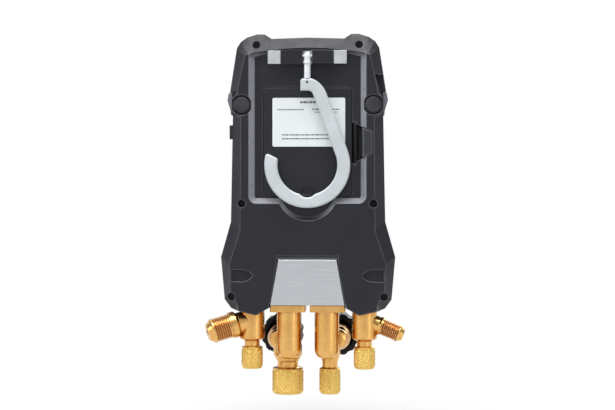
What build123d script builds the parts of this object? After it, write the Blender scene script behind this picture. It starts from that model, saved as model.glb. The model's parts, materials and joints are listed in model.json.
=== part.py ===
from build123d import *
from math import cos, radians, sin
import os

# Four-valve digital refrigerant manifold gauge, an assembly of separate pieces in millimetres.
#
# The origin is the centre of the suspension hook's hinge. Z runs up the tool, X to the right of
# someone who looks at its back, and Y from the back of the casing to its display side. "Depth" is
# a distance in Y from the plane of the casing's back rails.

os.makedirs("parts", exist_ok=True)

# ---- clearances -------------------------------------------------------------------------------
RUNNING = 0.06  # radial gap of a turning or sliding fit
GAP = 0.3  # gap round a loose lid, a soft piece or a key
PANEL_GAP = 0.5  # gap round a moving cover

# ---- casing -----------------------------------------------------------------------------------
WALL = 2.4  # moulded wall
SHOULDER = 8.0  # depth at which the back's chamfer reaches the full outline
SPLIT = 22.0  # depth of the rear shell's parting face
GASKET_T = 0.8
FRONT = 43.0  # depth of the display face
FRONT_BEVEL = 4.0
TRAY_DEPTH = 4.0  # floor of the recess that the hook folds into
TRAY_HALF = 38.0
TRAY_TOP = 8.6
TRAY_SHOULDER = 2.6
TRAY_BOTTOM = -95.2
TRAY_CORNER = 5.0
TRAY_SLOPE = 41.0  # degrees that the recess's walls lean outwards
SCOOP_R = 20.4  # finger scoop below the hook's bowl
SCOOP_Z = -86.0
SCOOP_DEPTH = 2.8
COVER_Z = -31.5  # probe covers
COVER_X = 42.6
NICHE = [(43.4, -11.6), (54.0, -11.6), (54.0, -23.9), (46.8, -23.9)]  # beside the right cover
NICHE_DEPTH = 9.0
SMALL_NICHE = [(-46.8, -22.0), (-54.0, -22.0), (-54.0, -23.9), (-46.8, -23.9)]
SMALL_NICHE_DEPTH = 5.0
GRIP_BASE = 49.3  # thumb grips in the lower panel: bullet-shaped, with their tips inwards
GRIP_SHOULDER = 42.5
GRIP_TIP = 35.4
GRIP_HALF = 3.9
GRIP_Z = -141.8
GRIP_DEPTH = 1.6

# Right half of the casing's outline, (x, z) from the top centre down: at the back face, at full
# width behind the chamfer, and at the display face.
BACK_EDGE = [
    (0, 0.6), (23.7, 0.5), (28.1, 0.5), (31.6, 0.9), (35.5, 1.3), (38.6, 1.3), (40.3, 0.9),
    (45.2, -21.0), (45.4, -25.0), (43.1, -36.5), (43.6, -113.0), (50.6, -134.0), (49.8, -152.0),
    (45.6, -159.5), (44.6, -164.8), (33.4, -167.4), (24.8, -162.7), (24.8, -160.0),
]
FULL_EDGE = [
    (0, 12.9), (23.7, 12.2), (28.1, 15.1), (33.0, 15.2), (39.6, 13.2), (43.8, 10.3), (46.4, 6.2),
    (50.8, -22.0), (50.4, -25.0), (49.0, -37.0), (50.3, -107.0), (56.8, -130.0), (54.4, -157.5),
    (50.2, -163.2), (45.4, -165.4), (33.4, -168.0), (24.8, -162.7), (24.8, -160.0),
]
FRONT_EDGE = [
    (0, 8.9), (22.8, 8.2), (26.6, 10.8), (31.6, 10.9), (37.4, 9.2), (40.6, 6.8), (42.8, 3.2),
    (46.8, -22.6), (46.5, -25.4), (45.1, -37.0), (46.4, -106.4), (52.7, -129.8), (50.4, -156.0),
    (47.6, -159.6), (44.8, -161.4), (33.2, -164.0), (24.8, -161.0), (24.8, -160.0),
]
COVER_HALF = FULL_EDGE[7][0]  # half width of the casing at the probe covers
PORT_HALF = FULL_EDGE[9][0]  # and at the side port

# ---- screws -----------------------------------------------------------------------------------
SCREW_PLACES = [(33.3, 7.7), (42.6, -95.2), (49.4, -155.4)]
SCREW_R = 1.3
SCREW_HEAD_R = 2.3
SCREW_HEAD_T = 2.0
SCREW_SEAT = 9.0  # depth of the counterbores' floor
SCREW_REACH = 9.0  # thread in the front shell
BOSS_R = 3.5

# ---- battery compartment ----------------------------------------------------------------------
DOOR_W = 57.4
DOOR_H = 71.0
DOOR_Z = -55.5
DOOR_R = 3.0
DOOR_FACE = 3.4
DOOR_T = 2.2
LABEL_X = 0.8
LABEL_W = 47.1
LABEL_H = 31.6
LABEL_Z = -42.5
LABEL_T = 0.3
CELL_R = 7.1
CELL_L = 50.0
CELL_GAP = 0.4
CELLS = 4
NIPPLE_R = 2.6
NIPPLE_L = 1.0
CONTACT_T = 0.6
THUMB_R = 5.3
THUMB_DROP = 34.0
THUMB_DEPTH = 0.8
BOX_WALL = 1.6

# ---- door latch -------------------------------------------------------------------------------
LATCH_PIVOT = (30.6, 4.7)  # (x, y) of its pivot, which runs along Z
LATCH_KNUCKLE = 1.1
LATCH_END = 41.6
LATCH_TOP = (-43.4, -49.0)  # z of the upper edge at its pivot and at its free end
LATCH_LOW = (-68.4, -62.2)
LATCH_DEPTH = 8.2
TRUNNION_R = 0.8
TRUNNION_L = 1.4

# ---- suspension hook --------------------------------------------------------------------------
BALL_R = 2.6
AXLE_R = 1.0
AXLE_SEAT = 2.6  # length of axle held in each cheek
COLLAR_R = 2.8
COLLAR_Z = -3.5
COLLAR_T = 1.2
NECK_R = 2.1
SHANK_R = 1.3
SHANK_L = 5.4
PIN_R = 0.8
PIN_Z = -17.0
HOOK_T = 4.4
HOOK_EDGE = 0.9
HEAD_LEFT = -4.4
HEAD_RIGHT = 3.0
HEAD_TOP = -14.6
HEAD_LOW = -22.3
BOWL_Z = -70.3
BOWL_R = 27.7
BAND = 8.35
ARM_LEAN = 20.4  # degrees between the arm and Z
ARM_L = 39.0
TIP_ANGLE = 163.5  # degrees from X at which the bowl ends
TIP_CUT = 4.5
NOTCH_R = 6.5
NOTCH_DEPTH = 1.65

# ---- bridge that carries the hook -------------------------------------------------------------
BRIDGE_HALF = 17.2
BRIDGE_TOP = 4.2
BRIDGE_LOW = -5.0
BRIDGE_FACE = -1.6
STRAP_T = 1.0
STRAP_FACE = -1.1
STRAP_END = 25.4

# ---- probe covers and side port ---------------------------------------------------------------
ANCHOR_R = 5.3
ANCHOR_GROOVE = 1.3
ANCHOR_SEAT = 1.8
ANCHOR_PROUD = 0.3
PEG_R = 2.0
PEG_L = 3.0
FLAP_IN = 48.7
FLAP_OUT = 52.0
FLAP_TOP = -23.6
FLAP_LOW = -37.6
FLAP_FAR = 17.0
KNUCKLE_R = 0.5
KNUCKLE_Y = 2.2
JACK_R = 3.2
JACK_BORE = 1.75
JACK_L = 9.0
JACK_Y = 10.5
PORT_Z = -48.4
PORT_Y = 13.0
PORT_W = 9.0
PORT_T = 4.6
PORT_L = 8.0
PORT_SKIN = 0.6
PLUG_FACE_W = 9.0
PLUG_FACE_T = 8.0
PLUG_PROUD = 2.0
PLUG_REACH = 4.5

# ---- manifold block and its valves ------------------------------------------------------------
BLOCK_HALF = 45.4
BLOCK_TOP = -119.0
BLOCK_LOW = -157.0
BLOCK_BACK = 9.0
BLOCK_FRONT = 34.0
PLATE_T = 2.0
PLATE_TOP = -131.3
PLATE_LOW = -161.0
PLATE_TOP_HALF = 18.8
PLATE_LOW_HALF = 24.1
PLATE_STEP = 2.2
PLATE_STEP_DEPTH = 0.8
MAIN_VALVE = (37.0, -142.0)  # (x, z) of the valves on the display side
LOW_VALVE = (19.4, -184.0)  # (x, z) of the valves on the centre ports
SEAT = 14.0  # depth of the valve seats
VALVE_BORE_R = 4.5
BONNET_R = 7.0
BONNET_L = 6.0
BONNET_HEAD_R = 8.2
BONNET_HEAD_T = 4.0
BONNET_NOSE_R = 5.5
BONNET_NOSE_T = 4.5
SPINDLE_R = 3.0
SCREW_END_R = 2.5
SPINDLE_COLLAR_R = 4.3
SPINDLE_COLLAR_T = 2.0
LIFT = 3.0  # travel of a plunger from closed to open
PLUNGER_L = 8.0
KNOB_BACK = 44.5
KNOB_FACE = 70.5
KNOB_SKIN = 2.6
MAIN_KNOB_R = 17.0
LOW_KNOB_R = 14.0
FLUTE_R = 4.0
FLUTE_DEPTH = 0.9
FLUTES = 12
KNOB_HUB_R = 6.0

# ---- sight glass ------------------------------------------------------------------------------
SIGHT_Z = -128.0
GLASS_R = 8.5
GLASS_T = 4.0
SIGHT_RING_R = 10.5
SIGHT_RING_BORE = 7.4
SIGHT_RING_FACE = 44.2

# ---- brass ports ------------------------------------------------------------------------------
SMALL_THREAD_R = 11.1125 / 2  # 7/16-20 UNF
LARGE_THREAD_R = 15.875 / 2  # 5/8-18 UNF
SIDE_X = 36.8
SIDE_Y = 13.0
SIDE_R = 8.1
SIDE_LOW = -183.3
SIDE_NECK_R = 4.9
SPIGOT_R = 6.0
SPIGOT_L = 8.0
CENTRE_X = 12.3
CENTRE_Y = 10.0
CENTRE_R = 8.0
CENTRE_LOW = -196.4
CENTRE_ROUND = 6.0
FLANGE_T = 4.2
FLANGE_IN = 1.5
FLANGE_OUT = 24.4
FLANGE_BACK = 1.0
FLANGE_FRONT = 24.0
OUTLET_X = 13.9
OUTLET_Y = 22.0
OUTLET_LARGE_R = 6.9
OUTLET_SMALL_R = 5.1
BODY_R = 8.0
BODY_BACK = 12.0  # depth of the rounded end of a centre valve's body
BODY_BACK_R = 6.4
BODY_BACK_ROUND = 3.0
OUTLET_SWELL = 1.12  # outlet bowl, as a share of its thread's radius
OUTLET_LOW = -195.0
STUB_Z = -171.0
LARGE_STUB_DROP = 16.0  # degrees below level
LARGE_STUB_TURN = 17.0  # degrees towards the back of the tool
SMALL_STUB_DROP = 21.8
SMALL_STUB_TURN = 3.0
STUB_BORE_R = 1.9
STUB_BORE_L = 5.0
STUB_LEAD = 0.9
STUB_ROUND = 0.4
NOSE_SHARE = 0.68  # end of a parking stub's nose, as a share of its thread's radius
SIDE_CAP_TOP = -188.2
CENTRE_CAP_TOP = -203.0
SMALL_CAP_R = 7.1
LARGE_CAP_R = 10.4
SIDE_THREAD_L = 9.2
CENTRE_THREAD_L = 12.0
NOSE_L = 1.6
NOSE_STEP = 2.0
CAP_FLOOR = 2.4
SEAL_T = 1.5
CAP_LIP = 0.8
SEAL_SQUEEZE = 0.1

# ---- display side -----------------------------------------------------------------------------
LENS_W = 80.0
LENS_H = 76.0
LENS_Z = -38.0
LENS_R = 6.0
LENS_T = 1.2
WINDOW_BORDER = 6.5
LCD_W = 70.0
LCD_H = 66.0
LCD_T = 4.2
BOARD_HALF = 37.0
BOARD_TOP = -0.5
BOARD_LOW = -112.0
BOARD_T = 1.6
BOARD_FACE = 34.6  # depth of the board's display side
POST_R = 2.0
POST_PLACES = [(33.0, -2.9), (33.0, -75.0), (33.0, -109.0)]
KEY_W = 15.0
KEY_H = 8.0
KEY_R = 3.0
KEY_PROUD = 1.5
KEY_FLANGE = 1.2
KEY_FLANGE_T = 1.0
KEY_TRAVEL = 0.8
KEY_PLACES = {
    "key_left": (-23.0, -86.0), "key_up": (0.0, -86.0), "key_right": (23.0, -86.0),
    "key_down": (0.0, -101.0), "key_power": (23.0, -101.0),
}
SENSOR_X = 14.0
SENSOR_Y = 21.0
SENSOR_R = 5.0
SENSOR_L = 7.0

SIDES = {"left": -1, "right": 1}


def depth(y):
    """Plane at depth y, seen from the back: local x is X and local y is Z."""
    return Plane.XZ.offset(-y)


def save(piece, label):
    piece.part.label = label
    export_step(piece.part, f"parts/{label}.step")


def disc(radius, start, end):
    """Half section of a disc or shaft, as (radius, distance) points."""
    return [(0, start), (radius, start), (radius, end), (0, end)]


def ring(inner, outer, start, end):
    return [(inner, start), (outer, start), (outer, end), (inner, end)]


def turn(points, origin, along, mode=Mode.ADD):
    """Turn a half section of (radius, distance) points about the line from origin."""
    line = Vector(along).normalized()
    side = Vector(0, 1, 0) if abs(line.X) > 0.7 else Vector(1, 0, 0)
    side = (side - line * side.dot(line)).normalized()
    with BuildSketch(Plane(origin=origin, x_dir=side, z_dir=side.cross(line))) as section:
        with BuildLine():
            Polyline(*points, close=True)
        make_face()
    revolve(section.sketch, axis=Axis(origin, line), mode=mode)


def slab(width, height, near, far, place=(0, 0), radius=0, mode=Mode.ADD):
    """Rounded rectangle, width in X and height in Z, between two depths."""
    with BuildSketch(depth(near)) as section:
        with Locations(place):
            if radius:
                RectangleRounded(width, height, radius)
            else:
                Rectangle(width, height)
    extrude(section.sketch, amount=near - far, mode=mode)


def plate(points, near, far, margin=0.0, mode=Mode.ADD):
    """Polygon of (x, z) points between two depths, made larger all round by margin."""
    with BuildSketch(depth(near)) as section:
        with BuildLine():
            Polyline(*points, close=True)
        make_face()
        if margin:
            offset(amount=margin, kind=Kind.INTERSECTION)
    extrude(section.sketch, amount=near - far, mode=mode)


def outline(half, near, inset=0.0):
    """Sketch of the casing's outline at a depth, made smaller all round by inset."""
    with BuildSketch(depth(near)) as sketch:
        with BuildLine():
            Polyline(*half, *[(-x, z) for x, z in reversed(half) if x], close=True)
        make_face()
        if inset:
            offset(amount=-inset, kind=Kind.INTERSECTION)
    return sketch.sketch


def tray(near, grow=0.0):
    """Sketch of the hook's recess: a rounded field with an arched top edge."""
    with BuildSketch(depth(near)) as sketch:
        with BuildLine():
            ThreePointArc((-TRAY_HALF, TRAY_SHOULDER), (0, TRAY_TOP), (TRAY_HALF, TRAY_SHOULDER))
            Polyline(
                (TRAY_HALF, TRAY_SHOULDER), (TRAY_HALF, TRAY_BOTTOM),
                (-TRAY_HALF, TRAY_BOTTOM), (-TRAY_HALF, TRAY_SHOULDER),
            )
        make_face()
        fillet(sketch.vertices().sort_by(Axis.Y)[:2], TRAY_CORNER)
        if grow:
            offset(amount=grow, kind=Kind.INTERSECTION)
    return sketch.sketch


# ---- hook, its stud and the bridge that carries them -------------------------------------------
lean = radians(ARM_LEAN)
arm_up = (-sin(lean), cos(lean))
bowl_in = BOWL_R - BAND


def on_bowl(radius, degrees, along=0.0):
    """Point on a circle about the bowl's centre, moved up along the arm."""
    return (
        radius * cos(radians(degrees)) + along * arm_up[0],
        BOWL_Z + radius * sin(radians(degrees)) + along * arm_up[1],
    )


with BuildPart() as hook:
    with BuildSketch(depth(-HOOK_T / 2)):
        with BuildLine():
            shoulder = on_bowl(BOWL_R, ARM_LEAN, ARM_L)
            armpit = on_bowl(bowl_in, ARM_LEAN, ARM_L + 2.8)
            TangentArc(shoulder, (HEAD_RIGHT, HEAD_TOP), tangent=arm_up)
            Polyline(
                (HEAD_RIGHT, HEAD_TOP), (HEAD_LEFT + 1.2, HEAD_TOP), (HEAD_LEFT, HEAD_TOP - 1.2),
                (HEAD_LEFT, HEAD_LOW), (armpit[0] - 2.4, HEAD_LOW),
            )
            TangentArc(armpit, (armpit[0] - 2.4, HEAD_LOW), tangent=arm_up)
            Line(armpit, on_bowl(bowl_in, ARM_LEAN))
            ThreePointArc(
                on_bowl(bowl_in, ARM_LEAN), on_bowl(bowl_in, -90),
                on_bowl(bowl_in, TIP_ANGLE + TIP_CUT),
            )
            Line(on_bowl(bowl_in, TIP_ANGLE + TIP_CUT), on_bowl(BOWL_R, TIP_ANGLE))
            ThreePointArc(on_bowl(BOWL_R, TIP_ANGLE), on_bowl(BOWL_R, -90), on_bowl(BOWL_R, ARM_LEAN))
            Line(on_bowl(BOWL_R, ARM_LEAN), shoulder)
        make_face()
        with Locations((0, BOWL_Z - bowl_in - NOTCH_DEPTH + NOTCH_R)):
            Circle(NOTCH_R, mode=Mode.SUBTRACT)
    extrude(amount=-HOOK_T)
    fillet(hook.edges().filter_by(Axis.Y).filter_by_position(Axis.X, -28, -15), 1.5)
    broad_faces = hook.faces().sort_by(Axis.Y)
    chamfer(broad_faces[0].edges() + broad_faces[-1].edges(), HOOK_EDGE)
    turn(disc(SHANK_R, 0, SHANK_L), (0, 0, HEAD_TOP), (0, 0, -1), Mode.SUBTRACT)
    turn(disc(PIN_R, -HOOK_T, HOOK_T), (0, 0, PIN_Z), (0, 1, 0), Mode.SUBTRACT)
save(hook, "hook")

with BuildPart() as swivel_stud:
    Sphere(BALL_R)
    turn(disc(NECK_R, 0, -HEAD_TOP), (0, 0, 0), (0, 0, -1))
    turn(disc(COLLAR_R, 0, COLLAR_T), (0, 0, COLLAR_Z), (0, 0, -1))
    turn(disc(SHANK_R, 0, SHANK_L), (0, 0, HEAD_TOP), (0, 0, -1))
    turn(disc(AXLE_R + RUNNING, -BALL_R, BALL_R), (0, 0, 0), (1, 0, 0), Mode.SUBTRACT)
    turn(disc(PIN_R, -HOOK_T, HOOK_T), (0, 0, PIN_Z), (0, 1, 0), Mode.SUBTRACT)
save(swivel_stud, "swivel_stud")

with BuildPart() as hook_pin:
    turn(disc(PIN_R, -HOOK_T / 2, HOOK_T / 2), (0, 0, PIN_Z), (0, 1, 0))
save(hook_pin, "hook_pin")

slot_half = COLLAR_R + GAP
axle_half = slot_half + AXLE_SEAT
strap_back = TRAY_DEPTH - STRAP_T

with BuildPart() as hinge_axle:
    turn(disc(AXLE_R, -axle_half, axle_half), (0, 0, 0), (1, 0, 0))
save(hinge_axle, "hinge_axle")

with BuildPart() as hanger_bridge:
    with BuildSketch(depth(BRIDGE_FACE)):
        with BuildLine():
            ThreePointArc((-BRIDGE_HALF, BRIDGE_TOP - 0.5), (0, BRIDGE_TOP), (BRIDGE_HALF, BRIDGE_TOP - 0.5))
            Polyline(
                (BRIDGE_HALF, BRIDGE_TOP - 0.5), (BRIDGE_HALF, BRIDGE_LOW),
                (-BRIDGE_HALF, BRIDGE_LOW), (-BRIDGE_HALF, BRIDGE_TOP - 0.5),
            )
        make_face()
        Rectangle(2 * slot_half, 4 * BRIDGE_TOP + 4 * slot_half, mode=Mode.SUBTRACT)
    extrude(amount=BRIDGE_FACE - strap_back)
    turn(disc(AXLE_R, -axle_half, axle_half), (0, 0, 0), (1, 0, 0), Mode.SUBTRACT)
    chamfer(hanger_bridge.faces().sort_by(Axis.Y)[0].edges(), 0.5)
save(hanger_bridge, "hanger_bridge")

with BuildPart() as hanger_bracket:
    with BuildSketch(Plane.XY.offset(BRIDGE_LOW)):
        with BuildLine():
            knee = BRIDGE_HALF + STRAP_T
            Polyline(
                (0, strap_back), (BRIDGE_HALF, strap_back), (BRIDGE_HALF, STRAP_FACE),
                (STRAP_END, STRAP_FACE), (STRAP_END, STRAP_FACE + STRAP_T),
                (knee, STRAP_FACE + STRAP_T), (knee, TRAY_DEPTH), (0, TRAY_DEPTH),
            )
            mirror(about=Plane.YZ)
        make_face()
    extrude(amount=BRIDGE_TOP - 0.7 - BRIDGE_LOW)
save(hanger_bracket, "hanger_bracket")

# ---- rear shell --------------------------------------------------------------------------------
cell_pitch = 2 * CELL_R + CELL_GAP
box_half_w = CELL_L / 2 + CONTACT_T + CELL_GAP
box_half_h = CELLS * cell_pitch / 2 + CELL_GAP / 2
door_back = DOOR_FACE + DOOR_T
box_floor = door_back + 2 * CELL_R + CELL_GAP
latch_outline = [
    (LATCH_PIVOT[0] - LATCH_KNUCKLE, LATCH_TOP[0]), (LATCH_END, LATCH_TOP[1]),
    (LATCH_END, LATCH_LOW[1]), (LATCH_PIVOT[0] - LATCH_KNUCKLE, LATCH_LOW[0]),
]
plate_outline = [
    (-PLATE_TOP_HALF, PLATE_TOP), (PLATE_TOP_HALF, PLATE_TOP),
    (PLATE_LOW_HALF, PLATE_LOW), (-PLATE_LOW_HALF, PLATE_LOW),
]
flange_top = PLATE_LOW - 0.3
port_face = PORT_HALF - 0.6
side_hole_r = SIDE_R + GAP


with BuildPart() as rear_form:
    loft([outline(BACK_EDGE, 0), outline(FULL_EDGE, SHOULDER)], ruled=True)
    extrude(outline(FULL_EDGE, SHOULDER), amount=SHOULDER - SPLIT)
    for side in SIDES.values():
        turn(
            disc(ANCHOR_R + 2 * ANCHOR_GROOVE, 0, SHOULDER), (side * COVER_X, 0, COVER_Z), (0, 1, 0)
        )
        slab(
            8, 40, -1, KNUCKLE_Y, (side * (FLAP_IN - GAP + 4), COVER_Z), mode=Mode.SUBTRACT
        )

with BuildPart() as rear_ribs:
    extrude(tray(WALL, grow=WALL), amount=-TRAY_DEPTH)
    slab(
        2 * (box_half_w + BOX_WALL), 2 * (box_half_h + BOX_WALL), TRAY_DEPTH, box_floor + BOX_WALL,
        (0, DOOR_Z),
    )
    plate(latch_outline, WALL / 2, LATCH_DEPTH + PANEL_GAP + BOX_WALL, PANEL_GAP + BOX_WALL)
    plate(NICHE, WALL / 2, NICHE_DEPTH + BOX_WALL, BOX_WALL)
    for side in SIDES.values():
        for x, z in SCREW_PLACES:
            turn(disc(BOSS_R, WALL / 2, SPLIT), (side * x, 0, z), (0, 1, 0))
        turn(
            disc(PEG_R + BOX_WALL, WALL / 2, ANCHOR_SEAT + PEG_L + BOX_WALL),
            (side * COVER_X, 0, COVER_Z), (0, 1, 0),
        )
        slab(
            WALL + COVER_HALF - FLAP_IN, FLAP_TOP - FLAP_LOW + 2 * (GAP + WALL),
            WALL, FLAP_FAR + GAP + WALL,
            (side * (FLAP_IN - GAP - WALL / 2 + (COVER_HALF - FLAP_IN) / 2),
             (FLAP_TOP + FLAP_LOW) / 2),
        )
    with BuildSketch(depth(WALL / 2)):
        with Locations((0, SCOOP_Z)):
            Circle(SCOOP_R + WALL)
    extrude(amount=-(SCOOP_DEPTH + WALL / 2))
    add(rear_form.part, mode=Mode.INTERSECT)

with BuildPart() as rear_casing:
    add(rear_form.part)
    extrude(outline(FULL_EDGE, SHOULDER, WALL), amount=SHOULDER - SPLIT, mode=Mode.SUBTRACT)
    extrude(outline(BACK_EDGE, WALL, WALL), amount=WALL - SHOULDER, mode=Mode.SUBTRACT)
    add(rear_ribs.part)
    # recess for the hook, with leaning walls, and the finger scoop below its bowl
    extrude(tray(0), amount=-TRAY_DEPTH, taper=TRAY_SLOPE, mode=Mode.SUBTRACT)
    with BuildSketch(depth(0)):
        with Locations((0, SCOOP_Z)):
            Circle(SCOOP_R)
    extrude(amount=-SCOOP_DEPTH, taper=TRAY_SLOPE, mode=Mode.SUBTRACT)
    # room for the bridge and its bracket at the top of the recess
    slab(
        2 * (BRIDGE_HALF + STRAP_T + GAP), BRIDGE_TOP - BRIDGE_LOW + 2 * GAP, -1, TRAY_DEPTH,
        (0, (BRIDGE_TOP + BRIDGE_LOW) / 2), mode=Mode.SUBTRACT,
    )
    # battery opening: a seat for the door, then the box for the cells
    slab(DOOR_W + 2 * GAP, DOOR_H + 2 * GAP, 0, door_back, (0, DOOR_Z), DOOR_R + GAP, Mode.SUBTRACT)
    slab(2 * box_half_w, 2 * box_half_h, 0, box_floor, (0, DOOR_Z), mode=Mode.SUBTRACT)
    # pocket of the door latch, with holes for its trunnions
    plate(latch_outline, -1, LATCH_DEPTH + PANEL_GAP, PANEL_GAP, Mode.SUBTRACT)
    turn(
        disc(TRUNNION_R + RUNNING, LATCH_LOW[0] - TRUNNION_L - GAP, LATCH_TOP[0] + TRUNNION_L + GAP),
        (LATCH_PIVOT[0], LATCH_PIVOT[1], 0), (0, 0, 1), Mode.SUBTRACT,
    )
    # window for the plate with a step above it, outlets of the block and of the side ports
    plate(plate_outline, -1, WALL, GAP, Mode.SUBTRACT)
    slab(2 * PLATE_TOP_HALF + PLATE_STEP, 2 * PLATE_STEP, -1, PLATE_STEP_DEPTH, (0, PLATE_TOP),
         mode=Mode.SUBTRACT)
    slab(2 * (FLANGE_OUT + GAP), 12, WALL, SPLIT, (0, -160), mode=Mode.SUBTRACT)
    for side in SIDES.values():
        turn(disc(side_hole_r, -175, BLOCK_LOW), (side * SIDE_X, SIDE_Y, 0), (0, 0, 1), Mode.SUBTRACT)
        for x, z in SCREW_PLACES:
            turn(disc(SCREW_HEAD_R + GAP, -1, SCREW_SEAT), (side * x, 0, z), (0, 1, 0), Mode.SUBTRACT)
            turn(disc(SCREW_R, SCREW_SEAT, SPLIT), (side * x, 0, z), (0, 1, 0), Mode.SUBTRACT)
        # probe cover: round seat, peg hole, side recess and jack hole
        turn(
            disc(ANCHOR_R + ANCHOR_GROOVE, -1, ANCHOR_SEAT),
            (side * COVER_X, 0, COVER_Z), (0, 1, 0), Mode.SUBTRACT,
        )
        turn(
            disc(PEG_R, 0, ANCHOR_SEAT + PEG_L), (side * COVER_X, 0, COVER_Z), (0, 1, 0),
            Mode.SUBTRACT,
        )
        slab(
            8, FLAP_TOP - FLAP_LOW + 2 * GAP, -1, FLAP_FAR + GAP,
            (side * (FLAP_IN - GAP + 4), (FLAP_TOP + FLAP_LOW) / 2), mode=Mode.SUBTRACT,
        )
        turn(
            disc(JACK_R, FLAP_IN - GAP - JACK_L, FLAP_IN), (0, JACK_Y, COVER_Z), (side, 0, 0),
            Mode.SUBTRACT,
        )
        with BuildSketch(depth(0)):
            with BuildLine():
                upper, lower = GRIP_Z + GRIP_HALF, GRIP_Z - GRIP_HALF
                TangentArc(
                    (side * GRIP_SHOULDER, upper), (side * GRIP_TIP, GRIP_Z), tangent=(-side, 0)
                )
                TangentArc(
                    (side * GRIP_SHOULDER, lower), (side * GRIP_TIP, GRIP_Z), tangent=(-side, 0)
                )
                Polyline(
                    (side * GRIP_SHOULDER, upper), (side * GRIP_BASE, upper),
                    (side * GRIP_BASE, lower), (side * GRIP_SHOULDER, lower),
                )
            make_face()
        extrude(amount=-GRIP_DEPTH, mode=Mode.SUBTRACT)
    # side port, and the notches above the probe covers
    with BuildSketch(Plane.YZ.offset(-60)):
        with Locations((PORT_Y, PORT_Z)):
            RectangleRounded(PORT_T, PORT_W, PORT_T / 2 - 0.1)
    extrude(amount=16, mode=Mode.SUBTRACT)
    with BuildSketch(Plane.YZ.offset(-60)):
        with Locations((PORT_Y, PORT_Z)):
            RectangleRounded(PLUG_FACE_T + 2 * GAP, PLUG_FACE_W + 2 * GAP, 1.5 + GAP)
    extrude(amount=60 - port_face, mode=Mode.SUBTRACT)
    plate(NICHE, -1, NICHE_DEPTH, mode=Mode.SUBTRACT)
    plate(SMALL_NICHE, -1, SMALL_NICHE_DEPTH, mode=Mode.SUBTRACT)
save(rear_casing, "rear_casing")

with BuildPart() as case_screws:
    for side in SIDES.values():
        for x, z in SCREW_PLACES:
            turn(
                disc(SCREW_HEAD_R, SCREW_SEAT - SCREW_HEAD_T, SCREW_SEAT),
                (side * x, 0, z), (0, 1, 0),
            )
            turn(disc(SCREW_R, SCREW_SEAT, SPLIT + SCREW_REACH), (side * x, 0, z), (0, 1, 0))
save(case_screws, "case_screws")

# ---- battery compartment -----------------------------------------------------------------------
with BuildPart() as battery_door:
    slab(DOOR_W, DOOR_H, DOOR_FACE, door_back, (0, DOOR_Z), DOOR_R)
    chamfer(battery_door.faces().sort_by(Axis.Y)[0].edges(), 0.5)
    with BuildSketch(depth(DOOR_FACE)):
        with BuildLine():
            ThreePointArc((-THUMB_R, DOOR_Z - THUMB_DROP), (0, DOOR_Z - THUMB_DROP + THUMB_R),
                          (THUMB_R, DOOR_Z - THUMB_DROP))
            Line((THUMB_R, DOOR_Z - THUMB_DROP), (-THUMB_R, DOOR_Z - THUMB_DROP))
        make_face()
    extrude(amount=-THUMB_DEPTH, mode=Mode.SUBTRACT)
save(battery_door, "battery_door")

with BuildPart() as label_plate:
    slab(LABEL_W, LABEL_H, DOOR_FACE - LABEL_T, DOOR_FACE, (LABEL_X, LABEL_Z), 1.0)
save(label_plate, "label_plate")

cell_middle = door_back + CELL_R + CELL_GAP / 2
cell_places = [
    (0, cell_middle, DOOR_Z + (index - (CELLS - 1) / 2) * cell_pitch) for index in range(CELLS)
]

with BuildPart() as battery_cells:
    for index, place in enumerate(cell_places):
        pole = 1 if index % 2 else -1
        body = CELL_L / 2 - NIPPLE_L
        turn(
            [(0, -CELL_L / 2), (CELL_R, -CELL_L / 2), (CELL_R, body), (NIPPLE_R, body),
             (NIPPLE_R, CELL_L / 2), (0, CELL_L / 2)],
            place, (pole, 0, 0),
        )
save(battery_cells, "battery_cells")

with BuildPart() as battery_contacts:
    for side in SIDES.values():
        for _, y, z in cell_places:
            with Locations((side * (box_half_w - CONTACT_T / 2), y, z)):
                Box(CONTACT_T, 2 * NIPPLE_R, 3 * NIPPLE_R)
            turn(
                disc(NIPPLE_R, CELL_L / 2, box_half_w - CONTACT_T),
                (0, y, z), (side, 0, 0),
            )
save(battery_contacts, "battery_contacts")

latch_x, latch_y = LATCH_PIVOT
with BuildPart() as door_latch:
    with BuildSketch(Plane.XY.offset(LATCH_LOW[0])):
        with BuildLine():
            Polyline(
                (latch_x, latch_y - LATCH_KNUCKLE), (latch_x + 1.3, latch_y - LATCH_KNUCKLE),
                (latch_x + 1.9, LATCH_DEPTH - 1.6), (latch_x + 4.3, LATCH_DEPTH - 1.6),
                (latch_x + 5.0, 0.4), (latch_x + 5.6, 0), (LATCH_END, 0), (LATCH_END, 2.0),
                (latch_x + 6.8, 2.0), (latch_x + 6.2, LATCH_DEPTH), (latch_x + 0.8, LATCH_DEPTH),
                (latch_x, latch_y + LATCH_KNUCKLE), close=True,
            )
        make_face()
        with Locations((latch_x, latch_y)):
            Circle(LATCH_KNUCKLE)
    extrude(amount=LATCH_TOP[0] - LATCH_LOW[0])
    plate(latch_outline, -1, LATCH_DEPTH + 1, mode=Mode.INTERSECT)
    turn(
        disc(TRUNNION_R, LATCH_LOW[0] - TRUNNION_L, LATCH_TOP[0] + TRUNNION_L),
        (latch_x, latch_y, 0), (0, 0, 1),
    )
save(door_latch, "door_latch")

# ---- probe covers, jacks and the side port -----------------------------------------------------
with BuildPart() as probe_cover_anchors:
    for side in SIDES.values():
        middle = (side * COVER_X, 0, COVER_Z)
        turn(
            [(0, -ANCHOR_PROUD), (ANCHOR_R - 0.8, -ANCHOR_PROUD), (ANCHOR_R, 0.5),
             (ANCHOR_R, ANCHOR_SEAT), (0, ANCHOR_SEAT)],
            middle, (0, 1, 0),
        )
        turn(disc(PEG_R, ANCHOR_SEAT, ANCHOR_SEAT + PEG_L), middle, (0, 1, 0))
save(probe_cover_anchors, "probe_cover_anchors")

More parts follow.
